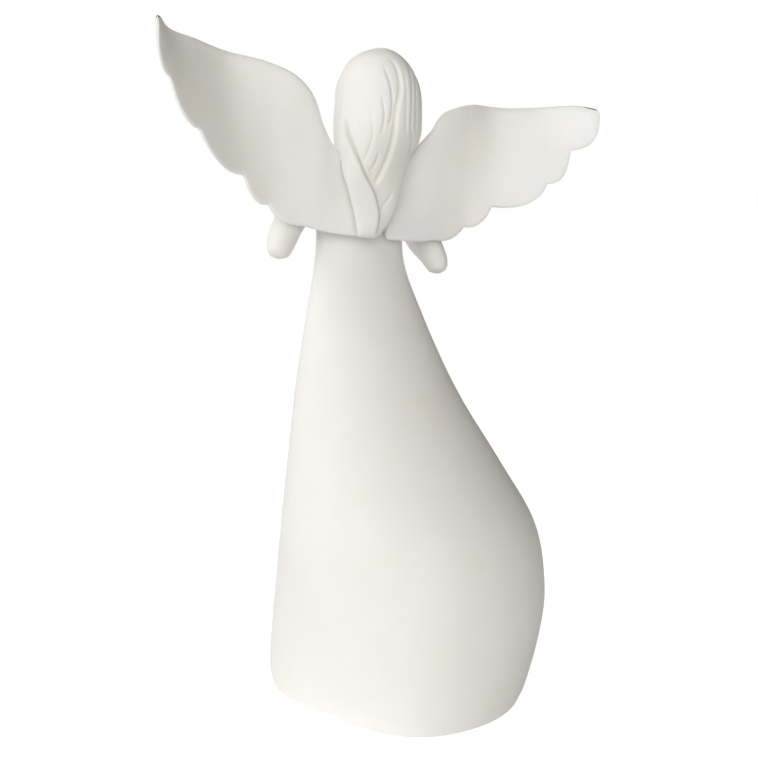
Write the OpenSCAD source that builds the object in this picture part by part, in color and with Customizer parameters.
// Standing angel figurine, cast in resin pieces that are glued together.
// +Z is up, the figure faces -Y and its left hand is on +X.
// The origin is on the resting plane, straight under the neck.

/* [Gown] */
// Height of the shoulders above the resting plane
shoulder_h = 172; // [140:1:215]
// Radius of the skirt at its hem
hem_r = 43; // [36:1:52]
// How far the skirt sweeps sideways at its fullest height
sweep = 18.5; // [8:0.5:23]
// Direction of the sweep, turned from the figure's right towards its back
sweep_angle = 42; // [0:1:60]
// Half width of the bodice, shoulder to shoulder
bodice_r = 16.2; // [14:0.1:20]
// Half depth of the bodice, chest to back
bodice_depth = 8; // [7:0.1:10]
// Flattening of the skirt's left side at the hem, as a share of its radius
side_flat = 0.22; // [0:0.01:0.3]
// Thickness of the hollow skirt's wall
wall = 4; // [3:0.1:6]

/* [Base] */
// Thickness of the plate that closes the hollow skirt
plate_t = 3; // [2:0.1:5]
// Thickness of the felt pad
felt_t = 1.2; // [0.8:0.1:2]
// How far the felt stands below the hem
felt_proud = 0.5; // [0.2:0.1:0.8]
// Width of the wall's lip around the base plate
lip_w = 2; // [1.5:0.1:2.8]

/* [Head and hair] */
// Width of the head under the hair
head_w = 22.5; // [19:0.1:26]
// Height of the head, chin to crown
head_h = 26.5; // [22:0.1:31]
// Length of the neck between the shoulders and the chin
neck_l = 12; // [9:0.1:16]
// Diameter of the neck
neck_d = 9; // [7:0.1:11]
// How far the head stands back from the neck
head_back = 2; // [0:0.1:4]
// Thickness of the hair above the crown
hair_t = 2.3; // [1.8:0.1:5]
// Thickness of the hair over the forehead
fringe_t = 2.1; // [1.5:0.1:2.5]
// Half width of the opening for the face
face_w = 9.3; // [8:0.1:10]
// Half width of the hair at its widest
hair_r = 13.9; // [12:0.1:17]
// Half depth of the hair at its deepest
hair_depth = 16; // [14:0.1:18]
// Length of the hair tail below the shoulders
tail_l = 22.5; // [14:0.5:26]

/* [Wings] */
// Distance from one wing tip to the other
wing_span = 157; // [120:1:200]
// Height of a wing from its lowest feather to its leading edge
wing_h = 51; // [40:1:65]
// How far the tips are swept back from the wing roots
wing_back = 24; // [10:1:34]
// Thickness of a wing plate
wing_t = 3.2; // [2.4:0.1:4]

/* [Arms] */
// How far each elbow stands out from the middle of the figure
elbow_out = 30; // [25:0.1:34]
// Height of the elbows' lowest point below the shoulders
elbow_drop = 30.6; // [24:0.1:38]
// How far the joined hands stand in front of the neck
hands_front = 16.5; // [14:0.5:22]
// Radius of the sleeve at the shoulder
sleeve_r = 5.2; // [4:0.1:6.5]

/* [Joints] */
// Gap left for glue on each side of a spigot or tab
glue_gap = 0.15; // [0.1:0.01:0.25]
// Diameter of the steel dowels
dowel_d = 2; // [1.5:0.1:2.5]
// Gap between a dowel and its hole, on the radius
dowel_gap = 0.05; // [0.02:0.01:0.1]
// Diameter of the neck spigot
neck_spigot_d = 6; // [5:0.1:6.6]
// Length of the neck spigot
neck_spigot_l = 8; // [6:0.1:10]
// Diameter of each arm spigot
arm_spigot_d = 4; // [3:0.1:5]
// Length of each arm spigot
arm_spigot_l = 4.5; // [3:0.1:6]
// Width of each wing tab
tab_w = 5; // [4:0.1:6]
// Height of each wing tab
tab_h = 11; // [8:0.1:13]
// How deep each wing tab goes below the wing
tab_l = 5.5; // [4:0.1:6.5]

/* [Hidden] */
RESIN = "ivory";
FELT = "dimgray";
STEEL = "silver";
RING = 48;                        // points round the gown, the hair and the base

// The gown: each row gives the height above the hem as a share of the shoulders' height, the
// half width as a share of the way from the bodice to the hem, the depth as a share of the
// width, and the sweep as a share of its largest value.
GOWN_ROWS = [
    [0.000, 0.930, 1.03, 0.625], [0.025, 0.985, 1.03, 0.645], [0.115, 1.060, 1.01, 0.795],
    [0.200, 1.085, 0.98, 0.905], [0.320, 1.018, 0.92, 0.900], [0.435, 0.790, 0.86, 0.660],
    [0.580, 0.472, 0.77, 0.325], [0.725, 0.207, 0.64, 0.120], [0.870, 0.000, 0.50, 0.000]
];
HEM_Z = felt_proud;
bodice_z = HEM_Z + 0.87 * (shoulder_h - HEM_Z);
cavity_top = HEM_Z + 0.70 * (shoulder_h - HEM_Z);
plate_bottom = felt_t;
plate_top = felt_t + plate_t;
ledge_z = plate_top + glue_gap;

// Where the head, the hair and the joints stand, all from the shoulders' height
neck_top = shoulder_h + neck_l;
crown_z = neck_top + head_h;
top_z = crown_z + hair_t;
head_c = [-2, head_back];
hair_c = [-2.4, head_back + 6];
tail_x = 2.6;                                        // the tail lies a little to the left
tail_bottom = shoulder_h - tail_l;
bodice_back = bodice_depth;
wing_y = bodice_back + wing_t / 2 + glue_gap;      // middle of the wing's root
wing_z = shoulder_h - 22;                          // lowest edge of the wing's root
root_x = 4;                                        // inner edge of each wing
tab_x = root_x + 2 + tab_w / 2;
tab_z = wing_z + 9.5;
tab_end = wing_y - tab_l - wing_t / 2;
dowel_end = tab_end - bodice_depth * 0.75;
dowel_top = wing_y - wing_t;
arm_z = shoulder_h - 6.5;
arm_x = bodice_r - 1.6;                            // the flat seat of each sleeve
neck_dowel_l = neck_spigot_l + 8;

// --- curves and skins ---

function mix(a, b, t) = a + (b - a) * t;

// Value of column c of a table at position p, eased smoothly between its rows
function slope(rows, i, c) =
    (i <= 0 || i >= len(rows) - 1) ? 0 :
    (rows[i + 1][c] - rows[i - 1][c]) / (rows[i + 1][0] - rows[i - 1][0]);
function row_at(rows, p, i = 0) = (i >= len(rows) - 2 || p <= rows[i + 1][0]) ? i : row_at(rows, p, i + 1);
function hermite(a, b, da, db, h, t) =
    a * (2 * t * t * t - 3 * t * t + 1) + b * (3 * t * t - 2 * t * t * t)
    + da * h * (t * t * t - 2 * t * t + t) + db * h * (t * t * t - t * t);
function at(rows, p, c) =
    let (i = row_at(rows, p), h = rows[i + 1][0] - rows[i][0], t = (p - rows[i][0]) / h)
    hermite(rows[i][c], rows[i + 1][c], slope(rows, i, c), slope(rows, i + 1, c), h, t);

// A quadratic curve from a to c, pulled towards b
function bend(a, b, c, t) = (1 - t) * (1 - t) * a + 2 * t * (1 - t) * b + t * t * c;

// A smooth curve through a list of points, with n steps between neighbours
function knot(pts, i) = pts[max(0, min(len(pts) - 1, i))];
function spline_point(a, b, c, d, t) =
    0.5 * (2 * b + (c - a) * t + (2 * a - 5 * b + 4 * c - d) * t * t
    + (3 * b - a - 3 * c + d) * t * t * t);
function spline(pts, n) = [
    for (i = [0 : len(pts) - 2], k = [0 : i == len(pts) - 2 ? n : n - 1])
    spline_point(knot(pts, i - 1), pts[i], pts[i + 1], knot(pts, i + 2), k / n)
];

// A closed skin over rings that all have the same even number of points
module skin(rings) {
    n = len(rings[0]);
    last = (len(rings) - 1) * n;
    sides = [
        for (k = [0 : len(rings) - 2], i = [0 : n - 1], half = [0, 1])
        let (a = k * n + i, b = k * n + (i + 1) % n)
        half == 0 ? [a, a + n, b + n] : [a, b + n, b]
    ];
    caps = [
        for (i = [0 : n / 2 - 2], half = [0, 1])
        let (p = i, q = i + 1, r = n - 2 - i, s = n - 1 - i)
        half == 0 ? [p, q, r] : [p, r, s]
    ];
    ends = [for (f = caps) [f[2] + last, f[1] + last, f[0] + last]];
    polyhedron([for (ring = rings) each ring], concat(sides, caps, ends));
}

// --- gown ---

// Share of the side's flattening at angle a and height z
function flat_share(a, z) =
    let (off = abs((a + 540 - 17) % 360 - 180), fade = max(0, 1 - z / (shoulder_h * 0.46)))
    off > 60 ? 0 : side_flat * pow(cos(off * 1.5), 2) * fade * fade;

function gown_half(p) = bodice_r + (hem_r - bodice_r) * at(GOWN_ROWS, p, 1);
function gown_ratio(p) =
    mix(bodice_depth / bodice_r, at(GOWN_ROWS, p, 2), min(1, max(0, (0.87 - p) / 0.2)));
function gown_lean(p) = sweep * at(GOWN_ROWS, p, 3);

// One ring of the skirt at height z, moved in from its outer face by inset
function gown_ring(z, inset = 0, level = undef) =
    let (
        p = min(0.87, max(0, (z - HEM_Z) / (shoulder_h - HEM_Z))),
        w = gown_half(p) - inset,
        d = gown_half(p) * gown_ratio(p) - inset,
        c = gown_lean(p) * [-cos(sweep_angle), sin(sweep_angle)],
        zz = level == undef ? z : level
    )
    [for (i = [0 : RING - 1])
        let (a = (i + 0.5) * 360 / RING, s = 1 - flat_share(a, z))
        [c[0] + w * s * cos(a), c[1] + d * s * sin(a), zz]];

// One ring of the bodice, as shares of its half width and half depth
function bodice_ring(z, share_w, share_d) =
    [for (i = [0 : RING - 1])
        let (a = (i + 0.5) * 360 / RING)
        [bodice_r * share_w * cos(a), bodice_depth * share_d * sin(a), z]];

module gown_body() color(RESIN)
difference() {
    skin(concat(
        [gown_ring(cavity_top, wall * 1.9, cavity_top + 2)],
        [for (k = [8 : -1 : 1]) gown_ring(mix(ledge_z, cavity_top, k / 8), wall)],
        [gown_ring(HEM_Z, wall, ledge_z)],
        [gown_ring(HEM_Z, lip_w, ledge_z)],
        [gown_ring(HEM_Z, lip_w, HEM_Z)],
        [gown_ring(HEM_Z, 0.6)],
        [for (k = [0 : 23]) gown_ring(mix(HEM_Z + 0.6, bodice_z, k / 23))],
        [bodice_ring(shoulder_h - 14, 1.00, 1.00)],
        [bodice_ring(shoulder_h - 7, 0.97, 0.98)],
        [bodice_ring(shoulder_h - 3.5, 0.87, 0.94)],
        [bodice_ring(shoulder_h - 1.2, 0.64, 0.86)],
        [bodice_ring(shoulder_h, 0.42, 0.72)]
    ));
    translate([0, 0, shoulder_h - neck_spigot_l - glue_gap])
        cylinder(d = neck_spigot_d + 2 * glue_gap, h = neck_spigot_l + 1, $fn = 64);
    translate([0, 0, shoulder_h - neck_dowel_l + 4 - glue_gap])
        cylinder(d = dowel_d + 2 * dowel_gap, h = neck_dowel_l, $fn = 48);
    for (side = [-1, 1]) {
        translate([side * tab_x, (tab_end + wing_y) / 2 - glue_gap, tab_z])
            cube([tab_w + 2 * glue_gap, wing_y - tab_end, tab_h + 2 * glue_gap], center = true);
        translate([side * tab_x, dowel_end - glue_gap, tab_z])
            rotate([-90, 0, 0])
                cylinder(d = dowel_d + 2 * dowel_gap, h = wing_y - dowel_end, $fn = 48);
        translate([side * arm_x, 0, arm_z])
            rotate([0, side * 90, 0])
                cylinder(r = sleeve_r + 2, h = 10, $fn = 64);
        translate([side * (arm_x - arm_spigot_l - glue_gap), 0, arm_z])
            rotate([0, side * 90, 0])
                cylinder(d = arm_spigot_d + 2 * glue_gap, h = 10, $fn = 48);
    }
}

// --- base ---

module hem_outline(inset) {
    polygon([for (p = gown_ring(HEM_Z, inset)) [p[0], p[1]]]);
}

module base_plate() color(RESIN)
translate([0, 0, plate_bottom])
    linear_extrude(plate_t)
        hem_outline(lip_w + glue_gap);

module felt_pad() color(FELT)
linear_extrude(felt_t)
    hem_outline(lip_w + 1);

// --- head and hair ---

// Half profile of the head, from the chin up to the crown
function head_profile(grow) =
    let (r = head_w / 2 + grow, low = neck_top - grow, high = crown_z + grow, wide = mix(low, high, 0.58))
    concat(
        [[0, low]],
        [for (a = [-75 : 15 : 0]) [r * pow(cos(a), 0.8), wide + (wide - low) * sin(a)]],
        [for (a = [15 : 15 : 75]) [r * cos(a), wide + (high - wide) * sin(a)]],
        [[0, high]]
    );

module head_form(grow = 0) {
    translate([head_c[0], head_c[1], 0])
        rotate_extrude($fn = 72)
            polygon(head_profile(grow));
}

module head() color(RESIN)
difference() {
    union() {
        head_form();
        translate([0, 0, shoulder_h])
            cylinder(d = neck_d, h = neck_l + head_h * 0.3, $fn = 64);
        translate([0, 0, shoulder_h - neck_spigot_l])
            cylinder(d = neck_spigot_d, h = neck_spigot_l + 1, $fn = 64);
    }
    translate([0, 0, shoulder_h - neck_spigot_l - 1])
        cylinder(d = dowel_d + 2 * dowel_gap, h = neck_dowel_l - 3 + glue_gap, $fn = 48);
}

// The hair: each row gives the height as a share from the tail's end to the top, the half
// width and the half depth as shares of their largest values, and how far back its middle is
// as a share of the way from the bodice's back to the middle of the head.
HAIR_ROWS = [
    [0.00, 0.26, 0.08, 0.00], [0.05, 0.40, 0.19, 0.00], [0.15, 0.59, 0.27, 0.00],
    [0.28, 0.76, 0.36, 0.05], [0.40, 0.89, 0.60, 0.45], [0.52, 0.97, 0.86, 0.85],
    [0.64, 1.00, 1.00, 1.00], [0.76, 0.97, 0.97, 1.00], [0.86, 0.84, 0.84, 1.00],
    [0.93, 0.64, 0.64, 1.00], [0.98, 0.36, 0.36, 1.00], [1.00, 0.08, 0.08, 1.00]
];
HAIR_STEPS = 26;
hair_back = wing_y + wing_t / 2 + glue_gap;

// The notch on each side in which the wing's leading edge passes the hair
notch_lean = 3;
notch_x = wing_span / 2 * 0.13;
notch_y = wing_y + notch_lean / 2;

function hair_ring(p) =
    let (
        m = at(HAIR_ROWS, p, 3),
        c = [mix(tail_x, hair_c[0], m), mix(hair_back, hair_c[1], m)],
        w = hair_r * at(HAIR_ROWS, p, 1),
        d = hair_depth * at(HAIR_ROWS, p, 2),
        z = mix(tail_bottom, top_z, p)
    )
    [for (i = [0 : RING - 1])
        let (a = (i + 0.5) * 360 / RING)
        [c[0] + w * cos(a), c[1] + d * sin(a), z]];

module hair() color(RESIN)
difference() {
    union() {
        skin([for (k = [0 : HAIR_STEPS]) hair_ring(sin(90 * k / HAIR_STEPS))]);
        head_form(fringe_t);
    }
    head_form(glue_gap);
    translate([0, 0, shoulder_h - 1])
        cylinder(d = neck_d + 2 * glue_gap, h = neck_l + head_h * 0.3, $fn = 64);
    translate([-hair_r * 2, hair_back - hair_depth * 3, tail_bottom - 1])
        cube([hair_r * 4, hair_depth * 3, shoulder_h + 5 - tail_bottom]);
    for (side = [-1, 1])
        translate([side * (notch_x + hair_r / 2), notch_y, shoulder_h + 6])
            cube([hair_r, wing_t + 4 * glue_gap + notch_lean, 16], center = true);
    translate([-hair_r * 2, -hair_depth * 2 + head_c[1] - head_w * 0.12, tail_bottom])
        cube([hair_r * 4, hair_depth * 2, shoulder_h + neck_l + head_h * 0.1 - tail_bottom]);
    translate([head_c[0], head_c[1], neck_top + head_h * 0.25])
        rotate([90, 0, 0])
            scale([face_w, head_h * 0.47, 1])
                cylinder(r = 1, h = hair_depth * 2, $fn = 64);
}

// --- wings ---

// Places on a wing are [share of the half span, share of the wing's height above its root].
WING_TIP = [0.995, 0.910];
// Each feather's end: its pull point and the notch on its inner side
FEATHERS = [
    [[1.010, 0.660], [0.925, 0.680]], [[0.890, 0.440], [0.815, 0.455]],
    [[0.755, 0.245], [0.600, 0.295]], [[0.555, 0.120], [0.478, 0.147]],
    [[0.430, 0.020], [0.320, 0.035]], [[0.200, -0.010], [0.051, 0.000]]
];
LEADING = [
    [0.051, 0.390], [0.158, 0.530], [0.255, 0.690], [0.330, 0.865], [0.510, 0.985],
    [0.740, 1.030], [0.920, 0.990], [0.995, 0.910]
];
FEATHER_STEPS = 8;
CHORD_STEPS = 6;
// Share of the tips' sweep along the half span, and how the plate leans at that place
WING_ROWS = [
    [0.00, 0.00, 0.00], [0.10, 0.00, 0.00], [0.17, -0.02, 0.02], [0.26, -0.07, 0.13],
    [0.38, -0.11, 0.14], [0.50, -0.04, 0.04],
    [0.64, 0.30, -0.19], [0.78, 0.80, -0.36], [0.90, 1.13, -0.40], [1.05, 1.15, 0.00]
];

function wing_edge() = concat(
    [WING_TIP],
    [for (f = [0 : len(FEATHERS) - 1], k = [1 : FEATHER_STEPS])
        bend(f == 0 ? WING_TIP : FEATHERS[f - 1][1], FEATHERS[f][0], FEATHERS[f][1], k / FEATHER_STEPS)]
);
function wing_lead(t) =
    let (s = t * (len(LEADING) - 1), i = min(len(LEADING) - 2, floor(s)))
    spline_point(knot(LEADING, i - 1), LEADING[i], LEADING[i + 1], knot(LEADING, i + 2), s - i);

// The point of a wing over a flat place q, moved along Y by off
function wing_point(q, off) = [
    q[0] * wing_span / 2,
    wing_y + wing_back * at(WING_ROWS, q[0], 1) + wing_h * q[1] * at(WING_ROWS, q[0], 2) + off,
    wing_z + wing_h * q[1]
];
// Thickness from the feather ends (0) to the leading edge (1)
function wing_thick(t) = wing_t * (0.45 + 0.55 * sin(min(1, t * 1.25) * 150));

function wing_ring(k, edge) =
    let (n = len(edge) - 1, low = edge[n - k], high = wing_lead(k / n))
    concat(
        [for (j = [0 : CHORD_STEPS])
            let (t = j / CHORD_STEPS, near = k / n > 0.97 ? 0.5 : 1)
            wing_point(mix(low, high, t), wing_thick(t) * near / 2)],
        [for (j = [CHORD_STEPS : -1 : 0])
            let (t = j / CHORD_STEPS, near = k / n > 0.97 ? 0.5 : 1)
            wing_point(mix(low, high, t), -wing_thick(t) * near / 2)]
    );

module wing() {
    edge = wing_edge();
    difference() {
        union() {
            skin([for (k = [0 : len(edge) - 2]) wing_ring(k, edge)]);
            translate([tab_x, (tab_end + wing_y) / 2, tab_z])
                cube([tab_w, wing_y - tab_end, tab_h], center = true);
        }
        translate([tab_x, tab_end - 1, tab_z])
            rotate([-90, 0, 0])
                cylinder(d = dowel_d + 2 * dowel_gap, h = dowel_top - tab_end + 1 + glue_gap, $fn = 48);
    }
}

module left_wing() color(RESIN) wing();
module right_wing() color(RESIN) mirror([1, 0, 0]) wing();

// --- arms ---

// Middle lines of the left arm's two limbs, and the radius at each of their points
elbow_z = shoulder_h - elbow_drop;
UPPER_ARM = [
    [arm_x, 0, arm_z], [mix(arm_x, elbow_out, 0.25), 0, arm_z - 1.7],
    [mix(arm_x, elbow_out, 0.52), 0, mix(elbow_z, arm_z, 0.74)],
    [mix(arm_x, elbow_out, 0.77), 0.2, mix(elbow_z, arm_z, 0.50)],
    [elbow_out - 1.2, 0.8, elbow_z + 7.4], [elbow_out, 1.5, elbow_z + 4.2],
    [elbow_out + 0.4, 1.9, elbow_z + 1.6], [elbow_out + 0.5, 2, elbow_z + 0.3]
];
UPPER_R = [1, 1, 0.98, 0.94, 0.90, 0.81, 0.58, 0.15];
palm_x = sleeve_r * 0.52 + glue_gap;
hands_z = shoulder_h + 2;
FOREARM = [
    [elbow_out - 1.7, 0, elbow_z + 6.6], [elbow_out - 3.8, -3, elbow_z + 11],
    [elbow_out - 6.2, -hands_front * 0.40, mix(elbow_z, hands_z, 0.52)],
    [elbow_out * 0.67, -hands_front * 0.62, mix(elbow_z, hands_z, 0.70)],
    [elbow_out * 0.46, -hands_front * 0.80, mix(elbow_z, hands_z, 0.84)],
    [elbow_out * 0.23, -hands_front * 0.93, hands_z - 1.5],
    [palm_x, -hands_front, hands_z + 2], [palm_x, -hands_front, hands_z + 6],
    [palm_x, -hands_front + 0.2, hands_z + 9]
];
FOREARM_R = [0.66, 0.76, 0.70, 0.60, 0.50, 0.52, 0.50, 0.36, 0.14];
ARM_SIDES = 20;

function unit(v) = v / norm(v);
function heading(path, i) = unit(path[min(len(path) - 1, i + 1)] - path[max(0, i - 1)]);
// A direction square to the path at each point, carried along without twist
function carried(path, i = 0, last = [0, -1, 0]) =
    i == len(path) ? [] :
    let (along = heading(path, i), side = unit(last - (last * along) * along))
    concat([side], carried(path, i + 1, side));
function limb_ring(path, sides, radii, i) =
    let (
        up = cross(heading(path, i), sides[i]),
        share = i * (len(radii) - 1) / (len(path) - 1),
        r = sleeve_r * lookup(share, [for (k = [0 : len(radii) - 1]) [k, radii[k]]])
    )
    [for (k = [0 : ARM_SIDES - 1])
        let (t = k * 360 / ARM_SIDES)
        path[i] + r * (cos(t) * sides[i] + sin(t) * up)];

module limb(points, radii) {
    path = spline(points, 3);
    sides = carried(path);
    skin([for (i = [0 : len(path) - 1]) limb_ring(path, sides, radii, i)]);
}

module arm() {
    difference() {
        limb(UPPER_ARM, UPPER_R);
        translate([arm_x - 10, -10, arm_z - 10])
            cube([10, 20, 20]);
    }
    limb(FOREARM, FOREARM_R);
    translate([arm_x - arm_spigot_l, 0, arm_z])
        rotate([0, 90, 0])
            cylinder(d = arm_spigot_d, h = arm_spigot_l + 1, $fn = 48);
}

module left_arm() color(RESIN) arm();
module right_arm() color(RESIN) mirror([1, 0, 0]) arm();

// --- dowels ---

module neck_dowel() color(STEEL)
translate([0, 0, shoulder_h - neck_dowel_l + 4])
    cylinder(d = dowel_d, h = neck_dowel_l, $fn = 48);

module wing_dowels() color(STEEL)
for (side = [-1, 1])
    translate([side * tab_x, dowel_end, tab_z])
        rotate([-90, 0, 0])
            cylinder(d = dowel_d, h = dowel_top - dowel_end, $fn = 48);

gown_body();
base_plate();
felt_pad();
head();
hair();
left_wing();
right_wing();
left_arm();
right_arm();
neck_dowel();
wing_dowels();
